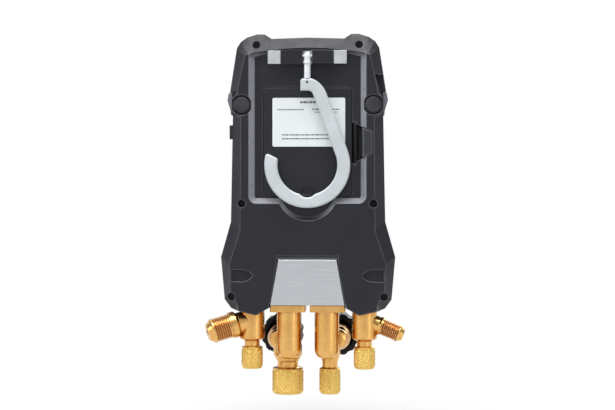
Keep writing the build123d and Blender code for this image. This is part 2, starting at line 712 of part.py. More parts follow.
for name, side in SIDES.items():
    with BuildPart() as probe_cover:
        plate(
            [(side * FLAP_IN, FLAP_TOP), (side * (FLAP_OUT - 0.9), FLAP_TOP),
             (side * FLAP_OUT, FLAP_TOP - 4.6), (side * (FLAP_OUT - 2.0), FLAP_LOW + 3.0),
             (side * (FLAP_OUT - 2.3), FLAP_LOW), (side * FLAP_IN, FLAP_LOW)],
            KNUCKLE_Y, FLAP_FAR,
        )
        turn(
            disc(KNUCKLE_R, FLAP_LOW, FLAP_TOP), (side * (FLAP_IN + KNUCKLE_R), KNUCKLE_Y, 0),
            (0, 0, 1),
        )
    save(probe_cover, f"probe_cover_{name}")

with BuildPart() as probe_sockets:
    for side in SIDES.values():
        jack_face = FLAP_IN - GAP
        turn(
            ring(JACK_BORE, JACK_R, jack_face - JACK_L, jack_face), (0, JACK_Y, COVER_Z),
            (side, 0, 0),
        )
save(probe_sockets, "probe_sockets")

with BuildPart() as side_port_socket:
    with BuildSketch(Plane.YZ.offset(-port_face)) as port_section:
        with Locations((PORT_Y, PORT_Z)):
            RectangleRounded(PORT_T, PORT_W, PORT_T / 2 - 0.1)
            RectangleRounded(
                PORT_T - 2 * PORT_SKIN, PORT_W - 2 * PORT_SKIN, PORT_T / 2 - PORT_SKIN - 0.1,
                mode=Mode.SUBTRACT,
            )
    extrude(amount=PORT_L)
save(side_port_socket, "side_port_socket")

with BuildPart() as side_port_plug:
    with BuildSketch(Plane.YZ.offset(-port_face - GAP)):
        with Locations((PORT_Y, PORT_Z)):
            RectangleRounded(PLUG_FACE_T, PLUG_FACE_W, 1.5)
    extrude(amount=-(PLUG_PROUD + 0.6))
    with BuildSketch(Plane.YZ.offset(-port_face - GAP)):
        with Locations((PORT_Y, PORT_Z)):
            RectangleRounded(
                PORT_T - 2 * (PORT_SKIN + GAP), PORT_W - 2 * (PORT_SKIN + GAP),
                PORT_T / 2 - PORT_SKIN - GAP - 0.1,
            )
    extrude(amount=PLUG_REACH)
save(side_port_plug, "side_port_plug")

# ---- manifold block ----------------------------------------------------------------------------
valve_places = {
    "low": (MAIN_VALVE[0], MAIN_VALVE[1], MAIN_KNOB_R),
    "high": (-MAIN_VALVE[0], MAIN_VALVE[1], MAIN_KNOB_R),
    "vacuum": (-LOW_VALVE[0], LOW_VALVE[1], LOW_KNOB_R),
    "refrigerant": (LOW_VALVE[0], LOW_VALVE[1], LOW_KNOB_R),
}


def valve_chamber(x, z):
    """Bore of a valve, with the wider socket that holds its bonnet."""
    turn(disc(VALVE_BORE_R, SEAT, BLOCK_FRONT), (x, 0, z), (0, 1, 0), Mode.SUBTRACT)
    turn(
        disc(BONNET_R, BLOCK_FRONT - BONNET_L, BLOCK_FRONT), (x, 0, z), (0, 1, 0), Mode.SUBTRACT
    )


with BuildPart() as manifold_block:
    plate(
        [(-BLOCK_HALF, BLOCK_TOP), (BLOCK_HALF, BLOCK_TOP), (BLOCK_HALF, BLOCK_LOW),
         (-BLOCK_HALF, BLOCK_LOW)],
        BLOCK_BACK, BLOCK_FRONT,
    )
    chamfer(manifold_block.edges().filter_by(Axis.Y), 3.0)
    plate(plate_outline, PLATE_T, BLOCK_FRONT - 8, margin=-0.2)
    for side in SIDES.values():
        valve_chamber(side * MAIN_VALVE[0], MAIN_VALVE[1])
        turn(
            disc(SPIGOT_R, BLOCK_LOW, BLOCK_LOW + SPIGOT_L), (side * SIDE_X, SIDE_Y, 0),
            (0, 0, 1), Mode.SUBTRACT,
        )
        turn(
            disc(SPIGOT_R, -170, flange_top + SPIGOT_L), (side * CENTRE_X, CENTRE_Y, 0),
            (0, 0, 1), Mode.SUBTRACT,
        )
    turn(disc(GLASS_R, BLOCK_FRONT - 8, BLOCK_FRONT), (0, 0, SIGHT_Z), (0, 1, 0), Mode.SUBTRACT)
save(manifold_block, "manifold_block")

with BuildPart() as block_back_plate:
    plate(plate_outline, 0, PLATE_T)
    chamfer(block_back_plate.faces().sort_by(Axis.Y)[0].edges(), 0.4)
save(block_back_plate, "block_back_plate")

with BuildPart() as sight_glass:
    turn(disc(GLASS_R, BLOCK_FRONT - GLASS_T, BLOCK_FRONT), (0, 0, SIGHT_Z), (0, 1, 0))
save(sight_glass, "sight_glass")

with BuildPart() as sight_glass_ring:
    turn(
        [(SIGHT_RING_BORE, BLOCK_FRONT), (SIGHT_RING_R, BLOCK_FRONT),
         (SIGHT_RING_R, SIGHT_RING_FACE - 0.8), (SIGHT_RING_R - 0.8, SIGHT_RING_FACE),
         (SIGHT_RING_BORE + 1.2, SIGHT_RING_FACE), (SIGHT_RING_BORE, SIGHT_RING_FACE - 1.6)],
        (0, 0, SIGHT_Z), (0, 1, 0),
    )
save(sight_glass_ring, "sight_glass_ring")

with BuildPart() as pressure_sensors:
    for side in SIDES.values():
        turn(
            disc(SENSOR_R, BLOCK_TOP, BLOCK_TOP + SENSOR_L), (side * SENSOR_X, SENSOR_Y, 0),
            (0, 0, 1),
        )
save(pressure_sensors, "pressure_sensors")

# ---- valves ------------------------------------------------------------------------------------
plunger_back = SEAT + GAP
plunger_front = plunger_back + PLUNGER_L
collar_back = plunger_front + LIFT + GAP
screw_start = plunger_back + 2.2 + LIFT + GAP
bonnet_front = BLOCK_FRONT + BONNET_HEAD_T + BONNET_NOSE_T
knob_hole = KNOB_FACE - 4.5

with BuildPart() as valve_bonnets:
    for x, z, _ in valve_places.values():
        turn(
            [(SPINDLE_R + RUNNING, BLOCK_FRONT - BONNET_L), (BONNET_R, BLOCK_FRONT - BONNET_L),
             (BONNET_R, BLOCK_FRONT), (BONNET_HEAD_R, BLOCK_FRONT),
             (BONNET_HEAD_R, BLOCK_FRONT + BONNET_HEAD_T),
             (BONNET_NOSE_R, BLOCK_FRONT + BONNET_HEAD_T), (BONNET_NOSE_R, bonnet_front),
             (SPINDLE_R + RUNNING, bonnet_front)],
            (x, 0, z), (0, 1, 0),
        )
save(valve_bonnets, "valve_bonnets")

for name, (x, z, knob_r) in valve_places.items():
    with BuildPart() as valve_plunger:
        turn(
            [(0, plunger_back), (VALVE_BORE_R - 1.5, plunger_back),
             (VALVE_BORE_R - RUNNING, plunger_back + 1.5), (VALVE_BORE_R - RUNNING, plunger_front),
             (SCREW_END_R + RUNNING, plunger_front), (SCREW_END_R + RUNNING, plunger_back + 2.2),
             (0, plunger_back + 2.2)],
            (x, 0, z), (0, 1, 0),
        )
    save(valve_plunger, f"{name}_valve_plunger")

    with BuildPart() as valve_spindle:
        turn(
            [(0, screw_start), (SCREW_END_R, screw_start), (SCREW_END_R, collar_back),
             (SPINDLE_COLLAR_R, collar_back), (SPINDLE_COLLAR_R, collar_back + SPINDLE_COLLAR_T),
             (SPINDLE_R, collar_back + SPINDLE_COLLAR_T), (SPINDLE_R, knob_hole), (0, knob_hole)],
            (x, 0, z), (0, 1, 0),
        )
    save(valve_spindle, f"{name}_valve_spindle")

    with BuildPart() as valve_knob:
        turn(
            [(SPINDLE_R, KNOB_BACK), (KNOB_HUB_R, KNOB_BACK), (KNOB_HUB_R, knob_hole - 1),
             (knob_r - KNOB_SKIN - FLUTE_DEPTH, knob_hole - 1),
             (knob_r - KNOB_SKIN - FLUTE_DEPTH, KNOB_BACK), (knob_r - 0.8, KNOB_BACK),
             (knob_r, KNOB_BACK + 0.8), (knob_r, KNOB_FACE - 3), (knob_r - 3, KNOB_FACE),
             (0, KNOB_FACE), (0, knob_hole), (SPINDLE_R, knob_hole)],
            (x, 0, z), (0, 1, 0),
        )
        with BuildSketch(depth(KNOB_BACK)) as flutes:
            with Locations((x, z)):
                with PolarLocations(knob_r + FLUTE_R - FLUTE_DEPTH, FLUTES):
                    Circle(FLUTE_R)
        extrude(flutes.sketch, amount=KNOB_BACK - KNOB_FACE, mode=Mode.SUBTRACT)
    save(valve_knob, f"{name}_valve_knob")

# ---- brass ports with their caps ---------------------------------------------------------------


def thread_end(neck_r, thread_r, neck_top, neck_low, thread_l):
    """Half section of a capped port, as (radius, z) points: neck, thread and sealing nose."""
    thread_low = neck_low - thread_l
    return [
        (0, neck_top), (neck_r, neck_top), (neck_r, neck_low), (thread_r, neck_low - 0.5),
        (thread_r, thread_low), (thread_r - NOSE_STEP, thread_low - NOSE_L), (0, thread_low - NOSE_L),
    ]


def cap(name, x, y, thread_r, outer_r, top, thread_l):
    """Screwed cap and the seal inside it, on a port whose neck ends at top."""
    seal_top = top - thread_l - NOSE_L - SEAL_SQUEEZE
    floor_top = seal_top - SEAL_T
    low = floor_top - CAP_FLOOR
    seal_r = thread_r - GAP
    with BuildPart() as screw_cap:
        turn(
            [(thread_r + RUNNING, top - 0.5), (outer_r - CAP_LIP, top - 0.5),
             (outer_r, top - 1.3), (outer_r, low + 1.2), (outer_r - 1.2, low), (0, low),
             (0, floor_top), (seal_r + RUNNING, floor_top), (seal_r + RUNNING, seal_top),
             (thread_r + RUNNING, seal_top)],
            (x, y, 0), (0, 0, 1),
        )
    save(screw_cap, f"{name}_cap")
    with BuildPart() as cap_seal:
        turn(disc(seal_r, floor_top + RUNNING, seal_top), (x, y, 0), (0, 0, 1))
    save(cap_seal, f"{name}_cap_seal")


def side_port(name, side, thread_r, drop, swing, marks):
    """Hose port of one side, with the stub that parks the hose's free end."""
    root, collar, shoulder, thread_end_at, tip = marks
    across = cos(radians(drop))
    stub = (
        side * across * cos(radians(swing)), -sin(radians(swing)),
        -sin(radians(drop)) * cos(radians(swing)),
    )
    with BuildPart() as fitting:
        turn(disc(SPIGOT_R, BLOCK_LOW, BLOCK_LOW + SPIGOT_L), (side * SIDE_X, SIDE_Y, 0), (0, 0, 1))
        turn(
            disc(SIDE_R, SIDE_LOW, BLOCK_LOW), (side * SIDE_X, SIDE_Y, 0), (0, 0, 1)
        )
        turn(
            [(0, SIDE_LOW), (SIDE_R, SIDE_LOW), (SIDE_NECK_R, SIDE_LOW - 1.8),
             (SIDE_NECK_R, SIDE_CAP_TOP), (0, SIDE_CAP_TOP)],
            (side * SIDE_X, SIDE_Y, 0), (0, 0, 1),
        )
        turn(
            thread_end(
                SIDE_NECK_R, SMALL_THREAD_R, SIDE_CAP_TOP + 1, SIDE_CAP_TOP, SIDE_THREAD_L
            ),
            (side * SIDE_X, SIDE_Y, 0), (0, 0, 1),
        )
        turn(
            [(0, 0), (root, 0), (root, collar), (thread_r + 0.7, collar + 1.5),
             (thread_r + 0.7, shoulder), (thread_r, shoulder), (thread_r, thread_end_at),
             (thread_r - STUB_LEAD, thread_end_at + STUB_LEAD),
             (NOSE_SHARE * thread_r, tip - STUB_ROUND),
             (NOSE_SHARE * thread_r - STUB_ROUND, tip), (0, tip)],
            (side * SIDE_X, SIDE_Y, STUB_Z), stub,
        )
        turn(
            disc(STUB_BORE_R, tip - STUB_BORE_L, tip + 1), (side * SIDE_X, SIDE_Y, STUB_Z), stub,
            Mode.SUBTRACT,
        )
    save(fitting, f"{name}_side_port")


side_port("left", -1, LARGE_THREAD_R, LARGE_STUB_DROP, LARGE_STUB_TURN, (7.0, 10.0, 14.8, 27.4, 30.8))
side_port("right", 1, SMALL_THREAD_R, SMALL_STUB_DROP, SMALL_STUB_TURN, (5.6, 9.6, 11.6, 24.0, 27.2))
cap("left_side", -SIDE_X, SIDE_Y, SMALL_THREAD_R, SMALL_CAP_R, SIDE_CAP_TOP, SIDE_THREAD_L)
cap("right_side", SIDE_X, SIDE_Y, SMALL_THREAD_R, SMALL_CAP_R, SIDE_CAP_TOP, SIDE_THREAD_L)


def centre_port(name, side, thread_r, neck_r):
    """Port with its own valve: a rear barrel, a valve body and an outlet below them."""
    flange_low = flange_top - FLANGE_T
    with BuildPart() as fitting:
        turn(disc(CENTRE_R, CENTRE_LOW, flange_low), (side * CENTRE_X, CENTRE_Y, 0), (0, 0, 1))
        fillet(fitting.edges().sort_by(Axis.Z)[0], CENTRE_ROUND)
        with BuildSketch(Plane.XY.offset(flange_low)):
            with Locations((side * (FLANGE_IN + FLANGE_OUT) / 2, (FLANGE_BACK + FLANGE_FRONT) / 2)):
                RectangleRounded(FLANGE_OUT - FLANGE_IN, FLANGE_FRONT - FLANGE_BACK, 1.2)
        extrude(amount=FLANGE_T)
        turn(
            disc(SPIGOT_R, flange_top, flange_top + SPIGOT_L), (side * CENTRE_X, CENTRE_Y, 0),
            (0, 0, 1),
        )
        turn(
            [(0, BODY_BACK), (BODY_BACK_R - BODY_BACK_ROUND, BODY_BACK),
             (BODY_BACK_R - 0.9, BODY_BACK + 0.9), (BODY_BACK_R, BODY_BACK + BODY_BACK_ROUND),
             (BODY_BACK_R, CENTRE_Y + CENTRE_R), (BODY_R, OUTLET_Y), (BODY_R, BLOCK_FRONT),
             (0, BLOCK_FRONT)],
            (side * LOW_VALVE[0], 0, LOW_VALVE[1]), (0, 1, 0),
        )
        swell_r = OUTLET_SWELL * (thread_r + 0.5)
        turn(
            [(0, LOW_VALVE[1]), (swell_r - 2, LOW_VALVE[1]), (swell_r, LOW_VALVE[1] - 5),
             (swell_r, OUTLET_LOW), (neck_r, OUTLET_LOW - 4.5), (0, OUTLET_LOW - 4.5)],
            (side * OUTLET_X, OUTLET_Y, 0), (0, 0, 1),
        )
        turn(
            thread_end(neck_r, thread_r, LOW_VALVE[1], CENTRE_CAP_TOP, CENTRE_THREAD_L),
            (side * OUTLET_X, OUTLET_Y, 0), (0, 0, 1),
        )
        valve_chamber(side * LOW_VALVE[0], LOW_VALVE[1])
    save(fitting, f"{name}_centre_port")


centre_port("left", -1, LARGE_THREAD_R, OUTLET_LARGE_R)
centre_port("right", 1, SMALL_THREAD_R, OUTLET_SMALL_R)
cap("left_centre", -OUTLET_X, OUTLET_Y, LARGE_THREAD_R, LARGE_CAP_R, CENTRE_CAP_TOP, CENTRE_THREAD_L)
cap("right_centre", OUTLET_X, OUTLET_Y, SMALL_THREAD_R, SMALL_CAP_R, CENTRE_CAP_TOP, CENTRE_THREAD_L)

# ---- front shell, gasket and display side ------------------------------------------------------
front_back = SPLIT + GASKET_T
front_inside = FRONT - WALL
bevel_start = FRONT - FRONT_BEVEL

with BuildPart() as case_gasket:
    extrude(outline(FULL_EDGE, SPLIT, 0.6), amount=-GASKET_T)
    extrude(outline(FULL_EDGE, SPLIT, WALL - 0.4), amount=-GASKET_T, mode=Mode.SUBTRACT)
    slab(2 * (FLANGE_OUT + GAP), 12, SPLIT, front_back, (0, -160), mode=Mode.SUBTRACT)
save(case_gasket, "case_gasket")

with BuildPart() as front_form:
    extrude(outline(FULL_EDGE, front_back), amount=front_back - bevel_start)
    loft([outline(FULL_EDGE, bevel_start), outline(FRONT_EDGE, FRONT)], ruled=True)

with BuildPart() as front_ribs:
    for side in SIDES.values():
        for x, z in SCREW_PLACES:
            turn(disc(BOSS_R, front_back, front_inside), (side * x, 0, z), (0, 1, 0))
        for x, z in POST_PLACES:
            turn(disc(POST_R, BOARD_FACE, front_inside), (side * x, 0, z), (0, 1, 0))
    add(front_form.part, mode=Mode.INTERSECT)

with BuildPart() as front_casing:
    add(front_form.part)
    extrude(outline(FULL_EDGE, front_back, WALL), amount=front_back - bevel_start + 1.5,
            mode=Mode.SUBTRACT)
    extrude(outline(FRONT_EDGE, bevel_start - 1.5, WALL), amount=bevel_start - 1.5 - front_inside,
            mode=Mode.SUBTRACT)
    add(front_ribs.part)
    slab(LENS_W + 2 * GAP, LENS_H + 2 * GAP, FRONT - LENS_T, FRONT, (0, LENS_Z), LENS_R + GAP,
         Mode.SUBTRACT)
    slab(LENS_W - 2 * WINDOW_BORDER, LENS_H - 2 * WINDOW_BORDER, front_inside, FRONT, (0, LENS_Z),
         2.0, Mode.SUBTRACT)
    for place in KEY_PLACES.values():
        slab(KEY_W + 2 * GAP, KEY_H + 2 * GAP, front_inside, FRONT, place, KEY_R + GAP,
             Mode.SUBTRACT)
    turn(disc(SIGHT_RING_R + GAP, front_inside, FRONT), (0, 0, SIGHT_Z), (0, 1, 0), Mode.SUBTRACT)
    slab(2 * (FLANGE_OUT + GAP), 12, front_back, FLANGE_FRONT + 2.6, (0, -160), mode=Mode.SUBTRACT)
    for side in SIDES.values():
        turn(
            disc(BONNET_NOSE_R + GAP, front_inside, FRONT), (side * MAIN_VALVE[0], 0, MAIN_VALVE[1]),
            (0, 1, 0), Mode.SUBTRACT,
        )
        for x, z in SCREW_PLACES:
            turn(
                disc(SCREW_R, front_back, SPLIT + SCREW_REACH), (side * x, 0, z), (0, 1, 0),
                Mode.SUBTRACT,
            )
save(front_casing, "front_casing")

with BuildPart() as display_lens:
    slab(LENS_W, LENS_H, FRONT - LENS_T, FRONT, (0, LENS_Z), LENS_R)
save(display_lens, "display_lens")

with BuildPart() as lcd_module:
    slab(LCD_W - 6, LCD_H, front_inside - LCD_T, front_inside, (0, LENS_Z))
save(lcd_module, "lcd_module")

with BuildPart() as main_board:
    plate(
        [(-BOARD_HALF, BOARD_TOP), (BOARD_HALF, BOARD_TOP), (BOARD_HALF, BOARD_LOW),
         (-BOARD_HALF, BOARD_LOW)],
        BOARD_FACE - BOARD_T, BOARD_FACE,
    )
save(main_board, "main_board")

for name, place in KEY_PLACES.items():
    flange_face = front_inside - RUNNING
    with BuildPart() as key:
        slab(KEY_W, KEY_H, flange_face, FRONT + KEY_PROUD, place, KEY_R)
        chamfer(key.faces().sort_by(Axis.Y)[-1].edges(), 0.5)
        slab(KEY_W + 2 * KEY_FLANGE, KEY_H + 2 * KEY_FLANGE, flange_face - KEY_FLANGE_T,
             flange_face, place, KEY_R + KEY_FLANGE)
        slab(4, 4, BOARD_FACE + KEY_TRAVEL + RUNNING, flange_face - KEY_FLANGE_T, place)
    save(key, name)
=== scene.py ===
import json
from math import atan2, cos, pi, radians, sin

import bmesh
import bpy
from mathutils import Matrix, Vector


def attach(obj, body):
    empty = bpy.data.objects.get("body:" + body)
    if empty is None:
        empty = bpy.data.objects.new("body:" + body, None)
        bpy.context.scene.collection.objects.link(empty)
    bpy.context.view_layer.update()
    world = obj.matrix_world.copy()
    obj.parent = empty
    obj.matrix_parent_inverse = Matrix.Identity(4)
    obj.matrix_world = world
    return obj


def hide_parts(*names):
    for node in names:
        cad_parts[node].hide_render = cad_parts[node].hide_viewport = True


# Looks of a four-valve refrigerant manifold gauge, seen from its back.
# Lengths in the helpers' arguments are millimetres, as in the part's source. MM turns them into metres.
MM = 0.001

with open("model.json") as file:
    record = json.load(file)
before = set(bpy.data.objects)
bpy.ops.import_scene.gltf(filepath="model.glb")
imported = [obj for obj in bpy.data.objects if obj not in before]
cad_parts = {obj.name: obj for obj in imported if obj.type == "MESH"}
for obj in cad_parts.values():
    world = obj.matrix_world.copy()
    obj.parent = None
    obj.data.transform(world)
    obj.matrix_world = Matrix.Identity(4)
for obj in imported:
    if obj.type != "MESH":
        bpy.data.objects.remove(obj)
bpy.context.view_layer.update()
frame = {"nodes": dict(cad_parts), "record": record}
nodes = frame["nodes"]


# ---- nodes --------------------------------------------------------------------------------------
def put(tree, node, key, value):
    """Link or set an input, given by its name with _ for each space, or as _ and its number."""
    key = int(key[1:]) if key[0] == "_" else key.replace("_", " ")
    if isinstance(value, bpy.types.NodeSocket):
        tree.links.new(value, node.inputs[key])
    else:
        node.inputs[key].default_value = value


def add_node(tree, kind, settings=None, **inputs):
    node = tree.nodes.new(kind)
    for key, value in (settings or {}).items():
        setattr(node, key, value)
    for key, value in inputs.items():
        put(tree, node, key, value)
    return node


# ---- materials ----------------------------------------------------------------------------------
class Shader:
    """A material whose nodes are added one at a time, with their inputs given by name."""

    def __init__(self, name):
        self.material = bpy.data.materials.new(name)
        self.material.use_nodes = True
        self.tree = self.material.node_tree
        self.surface = self.tree.nodes["Principled BSDF"]
        self.place = self.add("ShaderNodeTexCoord").outputs["Object"]

    def add(self, kind, settings=None, **inputs):
        return add_node(self.tree, kind, settings, **inputs)

    def set(self, **inputs):
        for key, value in inputs.items():
            put(self.tree, self.surface, key, value)

    def stretched(self, scale):
        """Object coordinates in metres, scaled by axis."""
        return self.add("ShaderNodeMapping", Vector=self.place, Scale=scale).outputs["Vector"]

    def noise(self, scale, detail=3.0, where=None, rough=0.5):
        return self.add(
            "ShaderNodeTexNoise", Vector=where or self.place, Scale=scale, Detail=detail,
            Roughness=rough,
        ).outputs["Fac"]

    def math(self, operation, a, b=0.0, c=0.0, clamp=False):
        settings = {"operation": operation, "use_clamp": clamp}
        return self.add("ShaderNodeMath", settings, _0=a, _1=b, _2=c).outputs[0]

    def spread(self, value, low, high, to_low, to_high):
        return self.add(
            "ShaderNodeMapRange", None, Value=value, From_Min=low, From_Max=high,
            To_Min=to_low, To_Max=to_high,
        ).outputs["Result"]

    def mix(self, factor, a, b):
        settings = {"data_type": "RGBA"}
        return self.add("ShaderNodeMix", settings, _0=factor, _6=a, _7=b).outputs[2]

    def bump(self, height, distance, strength=1.0, normal=None):
        node = self.add(
            "ShaderNodeBump", Height=height, Distance=distance * MM, Strength=strength,
        )
        if normal:
            put(self.tree, node, "Normal", normal)
        return node.outputs["Normal"]

    def soft_edges(self, radius):
        """Normal that rounds every edge, and how far it leans there, from 0 to about 0.3."""
        rounded = self.add("ShaderNodeBevel", {"samples": 6}, Radius=radius * MM).outputs["Normal"]
        flat = self.add("ShaderNodeNewGeometry").outputs["Normal"]
        along = self.add(
            "ShaderNodeVectorMath", {"operation": "DOT_PRODUCT"}, _0=rounded, _1=flat,
        ).outputs["Value"]
        return rounded, self.math("SUBTRACT", 1.0, along, clamp=True)

    def openness(self, reach):
        """How much of the surroundings within reach is open, from 0 deep in a gap to 1."""
        return self.add(
            "ShaderNodeAmbientOcclusion", {"samples": 8}, Distance=reach * MM,
        ).outputs["AO"]

    def inside(self, value, low, high, edge):
        """1 where a value lies between two limits, fading over the edge."""
        rise = self.spread(value, low - edge, low, 0, 1)
        fall = self.spread(value, high, high + edge, 1, 0)
        return self.math("MULTIPLY", rise, fall)


def rgb(*levels):
    """Linear colour from display levels of 0 to 255."""
    return tuple((level / 255) ** 2.2 for level in levels) + (1.0,)


def shaded(colour, factor, lift=0.0):
    """A colour made darker or paler, no part of it past 1."""
    return tuple(min(1.0, c * factor + lift) for c in colour[:3]) + (1.0,)


def moulded(name, colour, roughness, edge=0.5, edge_wear_and_highlight=0.5, gaps=True, recess=None, pocket_shadow=None):
    """Injection-moulded plastic: fine spark texture, uneven sheen, paler edges as wear and painted
    highlight, painted shade in gaps.

    The recess is (half width, low, high): its sloping walls are smoother, and painted paler as a
    highlight. The last argument is (from, to) in x: a strip painted near black, a painted shadow in a
    finger pocket.
    """
    s = Shader(name)
    rounded, lean = s.soft_edges(edge)
    fine = s.noise(2600, 2.0)
    broad = s.noise(45, 3.0)
    pale = shaded(colour, 5.0, 0.11)
    wall_highlight = shaded(colour, 5.0, 0.17)
    dark = shaded(colour, 0.82)
    gap = shaded(colour, 0.10)
    place = s.add("ShaderNodeSeparateXYZ", Vector=s.place)
    tone = s.mix(s.spread(broad, 0.35, 0.65, 0, 1), dark, colour)
    uneven = s.spread(broad, 0.3, 0.7, 0.6, 1.0)
    # Convex edges are painted paler: partly wear, partly a painted highlight.
    rubbed_and_highlit = s.math("MULTIPLY", s.spread(lean, 0.004, 0.09, 0, edge_wear_and_highlight), uneven)
    satin = s.spread(s.noise(160, 4.0), 0.3, 0.7, roughness - 0.05, roughness + 0.06)
    if gaps:
        near = s.openness(2.0)
        rubbed_and_highlit = s.math("MULTIPLY", rubbed_and_highlit, s.spread(near, 0.6, 0.9, 0, 1))
    if recess:
        half, low, high = (size * MM for size in recess)
        facing = s.add("ShaderNodeNewGeometry").outputs["Normal"]
        level = s.math("ABSOLUTE", s.add("ShaderNodeSeparateXYZ", Vector=facing).outputs["Y"])
        across = s.math("ABSOLUTE", place.outputs["X"])
        walls = s.math("MULTIPLY", s.inside(level, 0.45, 0.80, 0.12), s.inside(across, 0.0, half, 0.1 * MM))
        walls = s.math("MULTIPLY", walls, s.inside(place.outputs["Z"], low, high, 6 * MM))
        # The sloping recess walls are painted paler: a painted highlight.
        tone = s.mix(s.math("MULTIPLY", walls, s.spread(broad, 0.3, 0.7, 0.8, 1.0)), tone, wall_highlight)
        satin = s.math("SUBTRACT", satin, s.math("MULTIPLY", walls, 0.12))
    # Paler edges go on here: partly wear, partly a painted highlight.
    tone = s.mix(rubbed_and_highlit, tone, pale)
    # A strip across x is painted near black: a painted shadow in a finger pocket.
    if pocket_shadow:
        tone = s.mix(s.inside(place.outputs["X"], pocket_shadow[0] * MM, pocket_shadow[1] * MM, 0.05 * MM), tone, gap)
    # Where the surroundings close in, the colour goes near black: painted shade in gaps and creases.
    s.set(
        Base_Color=s.mix(s.spread(near, 0.25, 0.62, 0, 1), gap, tone) if gaps else tone,
        Roughness=satin, Normal=s.bump(fine, 0.03, 0.6, rounded), Specular_IOR_Level=0.3,
    )
    return s.material


PLAIN_STAIN = (0.76, 0.76, 0.77)  # tint of a steel's or an aluminium's dull places
PLAIN_GROOVE_SHADE = (1.0, 0.99, 0.98)  # and of the painted shade in its grooves
BRASS_STAIN = (0.76, 0.62, 0.44)
BRASS_GROOVE_SHADE = (1.0, 0.64, 0.28)


def tinted(colour, tint, share=1.0):
    return tuple(c * share * f for c, f in zip(colour[:3], tint)) + (1.0,)


def metal(
    name, colour, roughness, edge=0.25, scratch=0.002, tarnish=0.15, lines=(400, 400, 60), gap=0.55,
    stain=PLAIN_STAIN, groove=PLAIN_GROOVE_SHADE,
):
    """Machined metal: faint tool lines, uneven tarnish, paler edges as wear and painted highlight, and
    painted shade in grooves and enclosed places.
    """
    s = Shader(name)
    rounded, lean = s.soft_edges(edge)
    broad = s.noise(140, 4.0)
    dull = tinted(colour, stain)
    deep = tinted(colour, groove, gap)
    bright = shaded(colour, 0.6, 0.4)
    stained = s.mix(s.spread(broad, 0.42, 0.75, 0, tarnish), colour, dull)
    # Edges are painted paler: partly wear, partly a painted highlight.
    edge_wear_and_highlight = s.mix(s.spread(lean, 0.01, 0.16, 0, 0.75), stained, bright)
    # Places closed in within 9 mm are darkened towards the groove colour: painted shade.
    enclosure_shaded = s.mix(s.spread(s.openness(9.0), 0.3, 0.85, 0.85, 0.0), edge_wear_and_highlight, deep)
    tool = s.noise(6, 5.0, s.stretched(lines))
    # Narrow grooves take the groove colour: painted shade.
    s.set(
        Base_Color=s.mix(s.spread(s.openness(1.0), 0.3, 0.8, 0, 1), deep, enclosure_shaded), Metallic=1.0,
        Roughness=s.spread(s.noise(300, 4.0), 0.3, 0.7, roughness - 0.05, roughness + 0.08),
        Normal=s.bump(tool, scratch, 0.4, rounded),
    )
    return s.material


def brushed(name, colour):
    """Aluminium plate brushed along X, with a few longer scratches."""
    s = Shader(name)
    rounded, lean = s.soft_edges(0.3)
    hair = s.noise(10, 6.0, s.stretched((5, 90, 420)), 0.7)
    streak = s.noise(7, 2.0, s.stretched((7, 30, 190)))
    dark = shaded(colour, 0.80)
    pale = shaded(colour, 1.15)
    tone = s.mix(s.spread(hair, 0.3, 0.7, 0, 1), dark, colour)
    tone = s.mix(s.spread(streak, 0.55, 0.75, 0, 0.5), tone, pale)
    # Edges are painted paler: a painted highlight.
    s.set(
        Base_Color=s.mix(s.spread(lean, 0.03, 0.3, 0, 0.8), tone, pale), Metallic=1.0,
        Roughness=s.spread(hair, 0.3, 0.7, 0.36, 0.5), Anisotropic=0.6,
        Normal=s.bump(hair, 0.008, 0.5, rounded),
    )
    return s.material


def rubber(name, colour):
    """Matt rubber with dust in patches, paler edges of dust and painted highlight, and painted shade in its
    gaps.
    """
    s = Shader(name)
    rounded, lean = s.soft_edges(0.35)
    dust_and_highlight = shaded(colour, 2.4, 0.015)
    gap = shaded(colour, 0.2)
    tone = s.mix(s.spread(s.noise(90, 5.0), 0.45, 0.8, 0, 0.45), colour, dust_and_highlight)
    # Edges are painted paler: partly dust, partly a painted highlight.
    tone = s.mix(s.spread(lean, 0.01, 0.16, 0, 0.4), tone, dust_and_highlight)
    # Gaps are painted dark: painted shade.
    s.set(
        Base_Color=s.mix(s.spread(s.openness(2.0), 0.25, 0.62, 0, 1), gap, tone),
        Roughness=0.62, Specular_IOR_Level=0.35,
        Normal=s.bump(s.noise(1400, 3.0), 0.04, 0.6, rounded),
    )
    return s.material


def coated(name, colour, roughness):
    """Satin powder coat over a casting, with a faint orange peel."""
    s = Shader(name)
    rounded = s.soft_edges(0.6)[0]
    grey = shaded(colour, 0.88)
    tone = s.mix(s.spread(s.noise(60, 4.0), 0.35, 0.7, 0, 1), grey, colour)
    s.set(
        Base_Color=tone, Metallic=0.15, Coat_Weight=0.15, Coat_Roughness=0.35,
        Roughness=s.spread(s.noise(220, 3.0), 0.3, 0.7, roughness - 0.04, roughness + 0.05),
        Normal=s.bump(s.noise(700, 2.0), 0.03, 0.5, rounded),
    )
    return s.material


def film(name, colour):
    """Printed polyester film, with a faint ripple."""
    s = Shader(name)
    warm = (colour[0] * 0.97, colour[1] * 0.97, colour[2] * 0.94, 1.0)
    s.set(
        Base_Color=s.mix(s.spread(s.noise(50, 3.0), 0.4, 0.7, 0, 1), colour, warm),
        Roughness=s.spread(s.noise(400, 2.0), 0.3, 0.7, 0.36, 0.46), Specular_IOR_Level=0.4,
        Normal=s.bump(s.noise(120, 2.0), 0.05, 0.3),
    )
    return s.material


